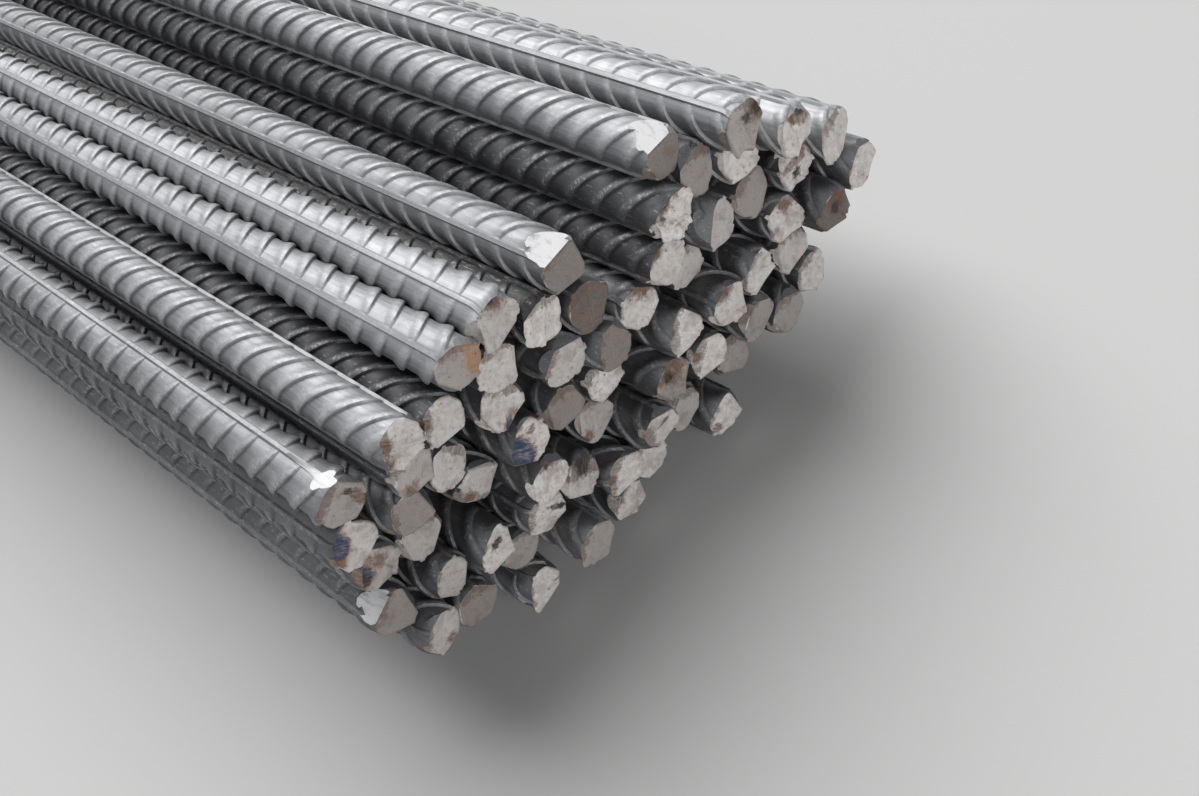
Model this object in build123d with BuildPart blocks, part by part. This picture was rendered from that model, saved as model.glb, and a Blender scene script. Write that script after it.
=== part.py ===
"""A tied bundle of ribbed steel reinforcing bars, 25 mm in diameter and 6 m long.

+X runs along the bars to the ends that stand out unevenly, +Y runs across the bundle,
+Z is up. The origin is on the floor, under the middle of the bundle. Millimetres.
"""
import math
import os

from build123d import *

# Bars
BAR_DIAMETER = 25.0  # nominal: the plain round that weighs as much as the ribbed bar
BAR_LENGTH = 6000.0  # stock length
RIB_SPACE = 0.8  # the ribs keep the rounds of touching bars this far apart
LONG_RIB_HEIGHT = 1.0  # of the two ribs along a bar, above its round
LONG_RIB_WIDTH = 2.4
LONG_RIB_CLEARANCE = 0.3  # between a long rib and the next bar
LONG_RIB_STEP = 5  # degrees that a bar is turned at a time until its long ribs are clear
SHEAR_LEAN = 7.0  # degrees that a sheared end face leans off square, at most
SHEAR_TURN = 137.5  # degrees that the lean turns from one bar to the next

# Wire ties
WIRE_DIAMETER = 6.0
WIRE_SIDES = 6  # a wire is drawn with flats, which keeps its many bends light
TIE_COUNT = 4
FIRST_TIE = 900.0  # from the shortest bar's uneven end to the first tie
LAST_TIE = 600.0  # from the last tie to the other end
TIE_CLEARANCE = 0.3  # between the wire and the bars that it holds
TWIST_LENGTH = 70.0  # of the twisted wire ends
TWIST_WIRES = 2  # wires side by side in the twist

# Each layer of bars, bottom to top. across and up are in bar pitches, from the middle of
# the bundle and from the lowest bar. out is how far each end stands out, in mm. turn is the
# direction of a long rib, in degrees from +Y towards +Z.
LAYERS = (
    dict(
        across=(-3.95, -2.5, -1.45, -0.5, 1.15),
        up=(0.1, 0.7, 0, 0.3, 0),
        out=(20, 42, 30, 29, 47),
        turn=(100, 40, 75, 150, 20),
    ),
    dict(
        across=(-5.85, -5, -3.65, -1.85, -1.2, 0.6, 2.15, 3.3, 4.55),
        up=(1.8, 1.25, 1.1, 1.75, 0.95, 0.9, 0.85, 0.95, 1.05),
        out=(17, 14, 12, 28, 34, 39, 44, 58, 55),
        turn=(110, 60, 95, 10, 135, 70, 165, 30, 120),
    ),
    dict(
        across=(-6.15, -5, -4, -2.9, -2.3, -0.8, -0.2, 0.55, 1.55, 2.65, 4.25, 5.15),
        up=(2.75, 2.35, 2.15, 1.8, 2.65, 2.25, 1.45, 2.15, 1.75, 1.7, 2, 2.45),
        out=(7, 10, 16, 23, 30, 22, 44, 44, 46, 57, 53, 68),
        turn=(100, 45, 150, 80, 20, 125, 60, 170, 35, 95, 140, 30),
    ),
    dict(
        across=(-5.55, -4.65, -3.35, -2.25, -1.25, -0.15, 1.35, 2.3, 3.3, 4.3, 6.15),
        up=(3.75, 3.3, 3.2, 3.65, 3.45, 3.05, 2.9, 2.65, 2.5, 3, 2.5),
        out=(0, 1, 7, 26, 26, 28, 46, 56, 53, 57, 68),
        turn=(100, 50, 130, 15, 75, 160, 40, 110, 85, 145, 30),
    ),
    dict(
        across=(-5.55, -4.5, -3.4, -2.05, -0.8, 0.05, 1.05, 2.1, 4.05, 5, 6),
        up=(4.75, 4.3, 4.25, 4.6, 4.6, 4.05, 3.95, 3.7, 3.95, 3.7, 3.75),
        out=(2, 8, 7, 20, 34, 40, 36, 40, 49, 57, 62),
        turn=(125, 60, 100, 35, 165, 80, 120, 20, 140, 160, 60),
    ),
    dict(
        across=(-5.1, -3.9, -2.95, -1.7, -0.65, 0.2, 1.75, 2.9, 4.05, 5.2),
        up=(5.65, 5.1, 5.4, 5.55, 5.55, 5, 4.65, 4.5, 4.95, 4.8),
        out=(2, 12, 17, 25, 30, 34, 47, 56, 50, 64),
        turn=(70, 150, 30, 150, 55, 80, 100, 40, 140, 80),
    ),
    dict(
        across=(-3.85, -2.25, -1.15, 0.45, 2.25, 3.2, 4.35),
        up=(6.1, 6.4, 6.45, 6.1, 5.6, 5.5, 5.95),
        out=(19, 26, 27, 30, 52, 46, 62),
        turn=(5, 110, 20, 120, 60, 20, 110),
    ),
    dict(across=(2.7,), up=(6.45,), out=(44,), turn=(10,)),
)

# Settling of the bars against each other, in bar pitches
SETTLE_ROUNDS = 200
SETTLE_REACH = 1.3  # bars nearer than this are drawn together
SETTLE_NEIGHBOURS = 2  # each bar is drawn to this many

# Derived sizes
BAR_RADIUS = BAR_DIAMETER / 2
PITCH = BAR_DIAMETER + RIB_SPACE
LONG_RIB_TOP = BAR_RADIUS + LONG_RIB_HEIGHT  # from a bar's centre
WIRE_RADIUS = WIRE_DIAMETER / 2
LOOP_OFFSET = LONG_RIB_TOP + TIE_CLEARANCE + WIRE_RADIUS  # from bar centres to the wire's centre
FLOOR_TO_LOWEST = LOOP_OFFSET + WIRE_RADIUS
OUTS = [out for layer in LAYERS for out in layer["out"]]
SHORT_END = (BAR_LENGTH - max(OUTS) - min(OUTS)) / 2  # X where a bar with an out of 0 ends
TWIST_RADIUS = WIRE_RADIUS * TWIST_WIRES


def shift_pair(places, i, j, distance, share):
    """Moves two bars along the line between them, so that their distance nears one pitch."""
    reach = (1 - distance) * share / distance
    across = (places[i][0] - places[j][0]) * reach
    up = (places[i][1] - places[j][1]) * reach
    places[i] = (places[i][0] + across, places[i][1] + up)
    places[j] = (places[j][0] - across, places[j][1] - up)


def settled(places):
    """Draws near bars together until they touch, pushes apart those that overlap, and
    keeps all of them on or above the floor."""
    places = list(places)
    bars = range(len(places))
    for _ in range(SETTLE_ROUNDS):
        for i in bars:
            near = sorted((math.dist(places[i], places[j]), j) for j in bars if j != i)
            for distance, j in near[:SETTLE_NEIGHBOURS]:
                if 1 < distance < SETTLE_REACH:
                    shift_pair(places, i, j, distance, 1 / 4)
        for i in bars:
            for j in range(i):
                distance = math.dist(places[i], places[j])
                if distance < 1:
                    shift_pair(places, i, j, distance, 1 / 2)
        places = [(across, max(up, 0)) for across, up in places]
    return places


def bar_centres():
    """The settled (Y, Z) centre of every bar, in the order of LAYERS, in mm. The bundle is
    centred on Y = 0, and its lowest bar lies on the ties."""
    places = [place for layer in LAYERS for place in zip(layer["across"], layer["up"])]
    places = settled(places)
    middle = (min(y for y, z in places) + max(y for y, z in places)) / 2
    lowest = min(z for y, z in places)
    return [
        ((y - middle) * PITCH, (z - lowest) * PITCH + FLOOR_TO_LOWEST) for y, z in places
    ]


def hull(points):
    """The corners of the convex outline round points, in order."""
    points = sorted(points)

    def half(run):
        corners = []
        for y, z in run:
            while len(corners) > 1:
                (y1, z1), (y2, z2) = corners[-2:]
                if (y2 - y1) * (z - z1) - (z2 - z1) * (y - y1) > 0:
                    break
                corners.pop()
            corners.append((y, z))
        return corners[:-1]

    return half(points) + half(reversed(points))


def long_ribs(centre, turn):
    """The (Y, Z) outer corners of a bar's two long ribs."""
    half_turn = math.degrees(math.atan2(LONG_RIB_WIDTH / 2, LONG_RIB_TOP))
    reach = math.hypot(LONG_RIB_WIDTH / 2, LONG_RIB_TOP)
    edges = (half_turn, -half_turn, 180 + half_turn, 180 - half_turn)
    angles = [math.radians(turn + edge) for edge in edges]
    return [(centre[0] + reach * math.cos(a), centre[1] + reach * math.sin(a)) for a in angles]


def bar_turns(centres):
    """The direction of each bar's long ribs: as LAYERS has it, or turned on from there by as
    little as clears the bars beside it and their long ribs."""
    wanted = [turn for layer in LAYERS for turn in layer["turn"]]
    turns, taken = [], []
    for number, (centre, turn) in enumerate(zip(centres, wanted)):
        others = centres[:number] + centres[number + 1 :]

        def room(step):
            corners = long_ribs(centre, turn + step)
            to_bars = min(math.dist(corner, other) for corner in corners for other in others)
            to_ribs = min(
                (math.dist(corner, other) for corner in corners for other in taken),
                default=PITCH,
            )
            return min(to_bars - BAR_RADIUS, to_ribs - LONG_RIB_WIDTH)

        steps = sorted(range(-90, 90, LONG_RIB_STEP), key=abs)
        turn += next(step for step in steps if room(step) > LONG_RIB_CLEARANCE)
        turns.append(turn)
        taken += long_ribs(centre, turn)
    return turns


def make_bar(centre, turn, out, number):
    """One bar: a round with two long ribs, a square far end, and a near end that the shear
    left leaning."""
    near = SHORT_END + out
    lean = math.radians(SHEAR_LEAN * (1 + number % 3) / 3)
    leans_to = math.radians(SHEAR_TURN * number)
    face = Plane(
        origin=(near, *centre),
        z_dir=(
            math.cos(lean),
            math.sin(lean) * math.cos(leans_to),
            math.sin(lean) * math.sin(leans_to),
        ),
    )
    with BuildPart() as bar:
        with BuildSketch(Plane.YZ.offset(near - BAR_LENGTH)):
            with Locations(centre):
                Circle(BAR_RADIUS)
                Rectangle(2 * LONG_RIB_TOP, LONG_RIB_WIDTH, rotation=turn)
        extrude(amount=BAR_LENGTH + BAR_DIAMETER)
        split(bisect_by=face, keep=Keep.BOTTOM)
    return bar.part


def make_layers(centres):
    """One node for each layer, its bars side by side."""
    turns = bar_turns(centres)
    number = 0
    for index, layer in enumerate(LAYERS, start=1):
        with BuildPart() as bars:
            for out in layer["out"]:
                add(make_bar(centres[number], turns[number], out, number))
                number += 1
        bars.part.label = f"bars_layer_{index}"
        export_step(bars.part, f"parts/{bars.part.label}.step")


def twist_seat(corners):
    """Where the twisted ends lie: on the middle of the loop's highest straight run."""
    runs = zip(corners, corners[1:] + corners[:1])
    start, end = max(runs, key=lambda run: run[0][1] + run[1][1])
    length = math.dist(start, end)
    along = ((end[0] - start[0]) / length, (end[1] - start[1]) / length)
    outward = (along[1], -along[0])
    middle = ((start[0] + end[0]) / 2, (start[1] + end[1]) / 2)
    reach = LOOP_OFFSET + TWIST_RADIUS - WIRE_RADIUS
    return tuple(m + o * reach for m, o in zip(middle, outward))


def make_tie(x, corners, label):
    """A wire drawn round the bundle, its two ends twisted together and laid along the bars."""
    with BuildPart() as tie:
        with BuildLine(Plane.YZ.offset(x)) as loop:
            Polyline(*corners, close=True)
            offset(amount=LOOP_OFFSET, kind=Kind.ARC, mode=Mode.REPLACE)
        with BuildSketch(loop.wire() ^ 0):
            RegularPolygon(WIRE_RADIUS, WIRE_SIDES, major_radius=False, rotation=180 / WIRE_SIDES)
        sweep()
        with BuildSketch(Plane.YZ.offset(x)):
            with Locations(twist_seat(corners)):
                Circle(TWIST_RADIUS)
        extrude(amount=TWIST_LENGTH)
    tie.part.label = label
    export_step(tie.part, f"parts/{label}.step")


def make_ties(centres):
    """The ties, evenly spaced along the bundle."""
    corners = hull(centres)
    first = SHORT_END - FIRST_TIE
    last = SHORT_END + max(OUTS) - BAR_LENGTH + LAST_TIE
    for index in range(TIE_COUNT):
        x = first + (last - first) * index / (TIE_COUNT - 1)
        make_tie(x, corners, f"wire_tie_{index + 1}")


os.makedirs("parts", exist_ok=True)
bar_places = bar_centres()
make_layers(bar_places)
make_ties(bar_places)
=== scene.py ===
"""Dresses a tied bundle of ribbed reinforcing bars: ribs, sheared ends, wire ties and finishes.

Metres. +X runs along the bars to the sheared ends that show, +Y runs across, +Z is up.
"""
import math
import random
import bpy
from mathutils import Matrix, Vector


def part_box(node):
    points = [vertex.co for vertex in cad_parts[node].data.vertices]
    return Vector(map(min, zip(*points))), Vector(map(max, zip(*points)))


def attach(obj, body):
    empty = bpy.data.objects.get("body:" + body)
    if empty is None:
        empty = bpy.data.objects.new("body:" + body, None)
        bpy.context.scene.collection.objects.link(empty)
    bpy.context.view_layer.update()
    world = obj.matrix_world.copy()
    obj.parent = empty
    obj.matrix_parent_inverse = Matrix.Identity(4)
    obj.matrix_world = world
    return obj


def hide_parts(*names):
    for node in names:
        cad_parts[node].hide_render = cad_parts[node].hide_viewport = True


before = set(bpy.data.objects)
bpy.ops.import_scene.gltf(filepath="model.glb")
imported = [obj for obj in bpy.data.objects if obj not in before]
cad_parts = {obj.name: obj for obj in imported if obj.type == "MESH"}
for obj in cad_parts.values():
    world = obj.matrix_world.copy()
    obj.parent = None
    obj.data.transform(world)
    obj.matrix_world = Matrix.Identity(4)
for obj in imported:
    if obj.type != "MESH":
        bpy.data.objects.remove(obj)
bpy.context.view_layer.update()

from types import SimpleNamespace
from typing import NamedTuple

import bmesh
import bpy
import numpy as np
from bpy.props import FloatProperty, FloatVectorProperty, PointerProperty
from mathutils import Euler, Matrix, Vector, noise

bl_info = {
    "name": "Rebar bundle",
    "version": (1, 0, 0),
    "blender": (4, 5, 0),
    "location": "3D View > Sidebar > Rebar bundle",
    "description": "Builds ribbed bars, wire ties and a plain stage round a rebar bundle",
    "category": "Object",
}

# The mesh of a ribbed bar
FREE_COLUMNS = 13  # steps between two long ribs
ROW_PLACES = (None, -0.85, -0.5, -0.15, 0.12, 0.34, 0.44, 0.54)  # in rib widths, None between
ROW_HEIGHTS = (0, 0, 0.42, 0.85, 1, 0.85, 0, 0)
# Painted shade along the steep foot of each rib, by row
ROW_FOOT_SHADE = (0, 0, 0, 0, 0, 0.1, 1, 0)
EDGED_ROWS = (5, 6)  # where a rib's steep side starts and ends
EDGED_SHARE = 0.3  # a rib's height from which its steep side has edges
RIB_ROUNDING = 2.2  # how fast a rib rises from the long ribs
RIB_NARROWEST = 0.45  # a rib's width at the long ribs, as a share of its full width
STRETCH_PITCHES = 43
STRETCH_LEAD = 0.02  # the least that the stretch stands out past a bar's near end
PLAIN_STEP = 0.004  # in which the slanting ribs run out into the plain length
FAR_TIP = math.radians(16)  # from a long rib to a plain rib's tip
FAR_STATIONS = 5  # sections of a plain rib
FAR_SUNK = 0.0004  # how deep its foot is in the bar
FAR_FOOT = (-0.8, 0.44)  # the sides of its foot, in rib widths
FAR_RIDGE = 0.22  # the place of its top, likewise
FAR_STEP = 0.0002  # how far the plain ribs stop before a bar's far end
SEEN_STEPS = 48  # places round a bar that are tested for being seen
SEEN_LEANS = np.radians((0, -25, 25, -50, 50, -70, 70))  # lines of sight from each
SEEN_WIDTH = 0.95  # how wide a bar is to those lines, by its radius
SEEN_LEAST = 6  # places seen that call for ribs on a side
MERGE = 1e-5

# The sheared end of a bar
MM = 0.001
SKIN, TORN, FLAT = 0, 1, 2  # marks of faces: the bar's own skin, torn steel, wiped flats
END_LOOPS = (1, 2.5, 4.5, 7, 10)  # where a bar's end is divided so that it can be drawn down
END_RINGS = (0.95, 0.86, 0.74, 0.6, 0.45, 0.3, 0.15)  # rings of an end's relief, by size
ROLL_START = -0.5  # from where the skin is drawn down, from 1 at the blade's side to -1 past it
RAGGED_START = 0.2  # from where the outline is ragged, from -1 at the blade's side to 1 past it
BURR_START = 0.88  # how far round a burr reaches, as the cosine of the angle
GUESSED_CHAMFERS = ((SKIN, 0), (TORN, 115), (SKIN, 235))  # where none is listed: mark, direction
TEAR_SPOTS = 150  # lumps of torn steel in a metre
STAINS = ("rust", "dark", "blue", "orange")
STAIN_DEPTH = 0.012  # how far back along a bar its end's stains go
PATTERN_STEP = 0.137  # from one bar to the next, so that no two bars have the same pattern

# The wire ties
BEND_STEP = math.radians(20)  # the most that a wire bends between two points
TURN_POINTS = 10  # points of a wire in a turn of its twist


class Look(NamedTuple):
    """How one bar looks, in mm and degrees. Directions run from +Y towards +Z."""

    bite: float  # the side where the shear came in
    roll: tuple  # how long and how deep the bar is drawn down there
    pale: float  # lightness of the end, from 0 to 1
    tear: float  # its roughness
    twist: float = 0  # turn of the bar about its axis, from its turn in the CAD
    skin: float = -0.15  # lightness of the bar's surface, from -1 to 1: above 0 lighter towards its top and end, below 0 painted shade for bars deep in the bundle
    detail: float = 70  # length with full ribs
    wiped: float = -0.5  # where the tear starts, from -1 at the blade's side to 1 past it
    chamfers: tuple = ()  # each (deep, long, direction)
    flats: tuple = ()  # likewise, wiped bright
    burr: tuple = ()  # (direction, out, along)
    rust: tuple = ()  # stains, each (direction, share of the radius, size)
    dark: tuple = ()
    blue: tuple = ()
    orange: tuple = ()


# The bars by layer and place in it, as in the CAD
LOOKS = {
    (7, 7): Look(
        45, (6, 2), 0.45, 1.2, skin=0.95, detail=370, burr=(205, 2, 9), rust=((10, 0.75, 5),),
        dark=((60, 0.25, 2.2), (10, 0.8, 3)),
    ),
    (6, 9): Look(60, (4, 2), 0.9, 1.2, skin=0.9),
    (5, 11): Look(
        100, (4, 1), 0.8, 1.2, skin=0.9, detail=320, chamfers=((3, 5, 315),), burr=(225, 1, 3),
    ),
    (6, 10): Look(
        60, (5, 2), 0.9, 1.6, skin=0.9, detail=300,
        rust=((50, 0.7, 4), (20, 0.6, 3), (80, 0.6, 3)), dark=((50, 0.75, 2),),
    ),
    (5, 10): Look(
        45, (6, 2), 0.8, 1.8, rust=((60, 0.5, 5), (150, 0.6, 3)),
        dark=((60, 0.45, 2), (240, 0.3, 3)),
    ),
    (4, 11): Look(135, (10, 6), 0.85, 1),
    (8, 1): Look(80, (4, 0.6), 0.15, 0.3, twist=187, skin=0.75, detail=470, flats=((5, 12, 75),)),
    (7, 6): Look(60, (3, 1), 0.3, 0.5),
    (5, 9): Look(90, (3, 1), 0.3, 0.4),
    (7, 5): Look(
        100, (7, 2), 1, 2.2, twist=125, skin=-0.35, detail=620, burr=(200, 1.5, 1),
        rust=((110, 0.7, 4),), dark=((100, 0.75, 2), (160, 0.6, 2)),
    ),
    (6, 8): Look(135, (12, 7), 0.55, 0.7, chamfers=((8, 7, 135),)),
    (4, 10): Look(60, (5, 2), 0.9, 2.2, wiped=-0.4, rust=((60, 0.5, 3.5),)),
    (3, 11): Look(60, (3, 1), 0.65, 1.4),
    (3, 12): Look(80, (8, 4), 0, 1.2, rust=((60, 0.4, 6),), dark=((90, 0.1, 3),)),
    (2, 9): Look(90, (3, 1), 0.8, 1.8),
    (6, 7): Look(
        100, (5, 2), 0.8, 0.8, twist=80, skin=-0.5, detail=640, wiped=-0.6, rust=((110, 0.8, 3),),
    ),
    (5, 8): Look(100, (3, 1), 0.65, 0.8),
    (4, 9): Look(110, (10, 6), 0.85, 2.2, wiped=-0.2),
    (4, 8): Look(90, (6, 3), 0.8, 1.8, wiped=-0.4, rust=((90, 0.6, 4),)),
    (5, 7): Look(50, (5, 2), 0.9, 1.2, wiped=-0.45, rust=((45, 0.7, 5),)),
    (4, 7): Look(135, (9, 5), 1, 1.2, wiped=-0.15, rust=((135, 0.6, 3),)),
    (3, 10): Look(90, (3, 1), 0.3, 0.6),
    (2, 8): Look(90, (3, 1), 0.3, 0.6),
    (7, 4): Look(90, (4, 0.6), 0.15, 0.3, skin=0.65, detail=600, flats=((5, 14, 88),)),
    (6, 6): Look(90, (4, 1), 0, 0.4),
    (5, 6): Look(150, (8, 4), 0.15, 0.4, chamfers=((3, 4, 20),)),
    (4, 6): Look(90, (3, 1), 0.95, 1.5),
    (7, 3): Look(
        70, (6, 3), 0.7, 1.6, twist=262, skin=0.9, detail=510, burr=(200, 1.5, 2),
        rust=((60, 0.75, 4),), dark=((70, 0.8, 1.8),),
    ),
    (6, 5): Look(60, (5, 2), 1, 0.8, skin=-1, detail=600, chamfers=((2, 3, 90),)),
    (5, 5): Look(120, (3, 1), 0.65, 0.8, chamfers=((2.5, 3, 60), (2, 3, 130))),
    (4, 5): Look(60, (3, 1), 0.2, 0.4),
    (3, 6): Look(60, (3, 1), 0.5, 0.7, rust=((200, 0.8, 3),)),
    (7, 2): Look(
        60, (4, 1.5), 0.4, 0.9, twist=210, skin=0.75, detail=490,
        chamfers=((2, 3, 45), (3, 3, 200)),
        orange=((20, 0.8, 3), (340, 0.7, 4.5), (310, 0.75, 4.5)),
    ),
    (6, 4): Look(60, (3, 1), 0.8, 0.8, twist=30, skin=-0.6, chamfers=((2, 3, 330),)),
    (5, 4): Look(45, (4, 1), 0.85, 1.2, rust=((270, 0.6, 3),), blue=((245, 0.8, 2.5),)),
    (6, 3): Look(
        130, (4, 1.5), 0.8, 0.8, twist=150, skin=-0.45, detail=460, wiped=-0.55,
        rust=((130, 0.85, 3),),
    ),
    (4, 4): Look(
        135, (5, 1.5), 0.95, 1.6, rust=((45, 0.6, 2.5),), blue=((150, 0.62, 6.5), (205, 0.6, 6)),
    ),
    (3, 7): Look(180, (5, 2.5), 0.8, 0.5, wiped=-0.3),
    (3, 8): Look(90, (6, 3), 0.3, 2, rust=((60, 0.3, 7),), dark=((120, 0.4, 3),)),
    (2, 6): Look(60, (3, 1), 0.5, 0.5),
    (3, 9): Look(135, (4, 1.5), 1, 0.8, wiped=-0.35, rust=((135, 0.7, 3),)),
    (2, 7): Look(60, (3, 1), 0.3, 0.5),
    (1, 5): Look(120, (7, 4), 1, 0.9, rust=((200, 0.7, 3),)),
    (3, 5): Look(60, (5, 2), 1, 1.2, dark=((60, 0.8, 3),)),
    (2, 4): Look(45, (5, 2), 0.75, 1.2, wiped=0, rust=((20, 0.3, 2),), dark=((45, 0.6, 6),)),
    (2, 5): Look(135, (5, 2), 0.95, 0.8, wiped=-0.3, rust=((150, 0.7, 3),)),
    (1, 3): Look(120, (5, 2), 0.85, 1.8),
    (1, 4): Look(90, (3, 1), 0.85, 1.2),
    (3, 4): Look(135, (5, 2), 0.85, 1.4, dark=((0, 0.4, 2), (340, 0.7, 2))),
    (1, 2): Look(120, (6, 3), 0.35, 0.7, burr=(200, 1.5, 3)),
    (7, 1): Look(
        135, (9, 3), 0.85, 2.2, twist=191, skin=0.75, detail=430,
        rust=((135, 0.7, 4), (190, 0.8, 3)),
    ),
    (6, 2): Look(90, (3, 1), 0.5, 0.8, detail=430, flats=((2.5, 5, 330),), rust=((220, 0.8, 4),)),
    (5, 3): Look(20, (5, 2), 0.8, 0.5, chamfers=((2, 3, 130),)),
    (4, 3): Look(200, (5, 2), 0.7, 0.6, wiped=-0.4, rust=((200, 0.7, 3),)),
    (5, 2): Look(150, (7, 3), 0.25, 0.5, detail=300),
    (4, 2): Look(60, (3, 1), 0.5, 0.6),
    (6, 1): Look(
        120, (4, 1.5), 0.35, 0.7, twist=165, skin=0.45, detail=390, flats=((1.2, 18, 72),),
        rust=((350, 0.6, 2.5), (320, 0.75, 2.5)), dark=((20, 0.5, 1.6),),
    ),
    (5, 1): Look(
        135, (4, 1.5), 0.75, 1.8, twist=180, detail=370, burr=(200, 1, 3), rust=((175, 0.8, 3),),
        blue=((115, 0.7, 4.5), (145, 0.65, 4.5)),
    ),
    (4, 1): Look(
        135, (4, 1.5), 0.5, 2.4, detail=400, rust=((60, 0.4, 4),), dark=((170, 0.7, 3),),
        blue=((150, 0.6, 5),),
    ),
    (3, 2): Look(135, (8, 4.5), 0.55, 0.8),
    (3, 1): Look(110, (3, 0.6), 0.2, 0.5, twist=25, detail=430, flats=((4, 13, 110),)),
    (2, 1): Look(135, (8, 4), 0.6, 0.8, rust=((280, 0.7, 3),)),
    (2, 2): Look(60, (3, 1), 0.2, 0.5),
    (3, 3): Look(
        120, (12, 6), 0.9, 1, dark=((60, 0.2, 2), (30, 0.4, 1.6)), blue=((235, 0.8, 2),),
    ),
    (2, 3): Look(60, (3, 1), 0.4, 0.5),
    (1, 1): Look(150, (8, 4), 0.95, 1, burr=(225, 2, 3)),
}


def metres(name, description, default):
    """A setting that is a length."""
    return FloatProperty(name=name, description=description, default=default, unit="LENGTH")


def amount(name, description, default):
    """A setting that is a plain number."""
    return FloatProperty(name=name, description=description, default=default)


def rgb(name, description, *default):
    """A setting that is a colour."""
    return FloatVectorProperty(
        name=name, description=description, subtype="COLOR", default=default
    )


class BarSettings(bpy.types.PropertyGroup):
    core: metres("Core", "Diameter between the ribs", 0.0244)
    rib_pitch: metres("Rib pitch", "From one rib to the next", 0.017)
    rib_height: metres("Rib height", "Above the core", 0.0018)
    rib_width: metres("Rib width", "Across a rib's foot", 0.0075)
    rib_advance: metres(
        "Rib advance", "How far a rib runs along the bar from one long rib to the other", 0.024
    )
    long_rib_width: metres("Long rib width", "At its foot", 0.0034)
    long_rib_top: metres("Long rib top", "Width of its top", 0.0018)
    long_rib_height: metres("Long rib height", "Above the core", 0.0013)


class TieSettings(bpy.types.PropertyGroup):
    wire: metres("Wire", "Its diameter", 0.006)
    reach: metres("Reach", "From a bar's centre to the wire's", 0.0168)
    twist_pitch: metres("Twist pitch", "Length of one turn of the twisted ends", 0.024)


class FinishSettings(bpy.types.PropertyGroup):
    scale_colour: rgb("Mill scale", "Colour of the bars", 0.18, 0.182, 0.188)
    dark_colour: rgb("Dark scale", "Colour of its darker patches", 0.085, 0.086, 0.09)
    worn_colour: rgb("Worn ribs", "Colour where the scale is rubbed", 0.56, 0.56, 0.572)
    cut_colour: rgb("Fresh tear", "Colour of the palest sheared ends", 0.80, 0.775, 0.755)
    dull_colour: rgb("Dull tear", "Colour of the dullest sheared ends", 0.115, 0.10, 0.092)
    facet_colour: rgb("Wiped steel", "Colour of flats that the blade wiped", 0.70, 0.695, 0.70)
    # The grime colour also paints shade on bars deep in the bundle and at the rib feet
    grime_and_shade_colour: rgb("Grime", "Colour of the dirtiest bars", 0.02, 0.019, 0.018)
    rust_colour: rgb("Rust", "Colour of light rust", 0.115, 0.055, 0.028)
    orange_colour: rgb("Orange rust", "Colour of fresh rust", 0.40, 0.18, 0.06)
    pit_colour: rgb("Pits", "Colour of holes and cracks in the ends", 0.035, 0.026, 0.024)
    temper_colour: rgb("Temper blue", "Colour of steel the shear heated", 0.024, 0.044, 0.095)


class StageSettings(bpy.types.PropertyGroup):
    camera_place: FloatVectorProperty(
        name="Camera", description="Place of the camera", subtype="TRANSLATION", unit="LENGTH",
        default=(3.3545, -0.1497, 0.5743),
    )
    camera_turn: FloatVectorProperty(
        name="Camera turn", description="Turn of the camera", subtype="EULER",
        default=(0.56615, 0.38732, 0.67918),
    )
    lens: amount("Lens", "Focal length in mm", 37.53)
    sky_light: amount("Sky light", "Strength from above", 3.5)
    fill_light: amount("Fill light", "Strength along the bars, on their ends", 1.35)
    room_light: amount("Room light", "Strength from all sides", 0.06)
    background: amount("Background", "How light the room looks, where 1 is white", 0.8)
    floor_colour: rgb("Floor", "Colour of the floor", 0.6, 0.6, 0.595)


def deselect_all():
    """Deselects every object, so that an operator acts on the new one alone."""
    for item in bpy.context.selected_objects:
        item.select_set(False)


def object_of(mesh, name):
    """Links a mesh as a new object, selected and active."""
    deselect_all()
    piece = bpy.data.objects.new(name, mesh)
    bpy.context.scene.collection.objects.link(piece)
    piece.select_set(True)
    bpy.context.view_layer.objects.active = piece
    return piece


def measured(corners):
    """A bar's centre, radius, long ribs' direction, two ends and leaning face, from its mesh."""
    far = corners[corners[:, 0] < corners[:, 0].mean()]
    near = corners[corners[:, 0] > corners[:, 0].mean()]
    y, z = (far[:, 1:].min(0) + far[:, 1:].max(0)) / 2
    reach = np.hypot(far[:, 1] - y, far[:, 2] - z)
    tips = far[reach > reach.max() - MERGE * 10] - (0, y, z)
    doubled = 2 * np.arctan2(tips[:, 2], tips[:, 1])
    turn = math.atan2(np.sin(doubled).mean(), np.cos(doubled).mean()) / 2 % math.pi
    around = np.column_stack((near[:, 1] - y, near[:, 2] - z, np.ones(len(near))))
    slope_y, slope_z, middle = np.linalg.lstsq(around, near[:, 0], rcond=None)[0]
    return SimpleNamespace(
        y=y, z=z, radius=reach.min(), turn=turn, far=far[0, 0], near=middle,
        end=Vector((middle, y, z)), face=Vector((1, -slope_y, -slope_z)).normalized(),
    )


def nodes_like(start):
    """The names of the CAD's nodes that start alike, in order."""
    return sorted(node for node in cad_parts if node.startswith(start))


def bars_in(node):
    """The bars of a CAD node as measured, in order across the bundle."""
    work = bmesh.new()
    work.from_mesh(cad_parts[node].data)
    bmesh.ops.remove_doubles(work, verts=work.verts, dist=MERGE)
    bars, left = [], set(work.verts)
    while left:
        island, front = set(), [left.pop()]
        while front:
            vert = front.pop()
            island.add(vert)
            for edge in vert.link_edges:
                other = edge.other_vert(vert)
                if other in left:
                    left.remove(other)
                    front.append(other)
        bars.append(measured(np.array([vert.co for vert in island])))
    work.free()
    return sorted(bars, key=lambda bar: bar.y)


def column_angles(bars):
    """The angles of a bar's mesh columns, round from the middle of one long rib."""
    radius = bars.core / 2
    top = math.asin(bars.long_rib_top / 2 / radius)
    foot = math.asin(bars.long_rib_width / 2 / radius)
    free = np.linspace(foot, math.pi - foot, FREE_COLUMNS + 1)
    half = np.concatenate(([top], free, [math.pi - top]))
    return np.concatenate((half, half + math.pi))


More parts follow.
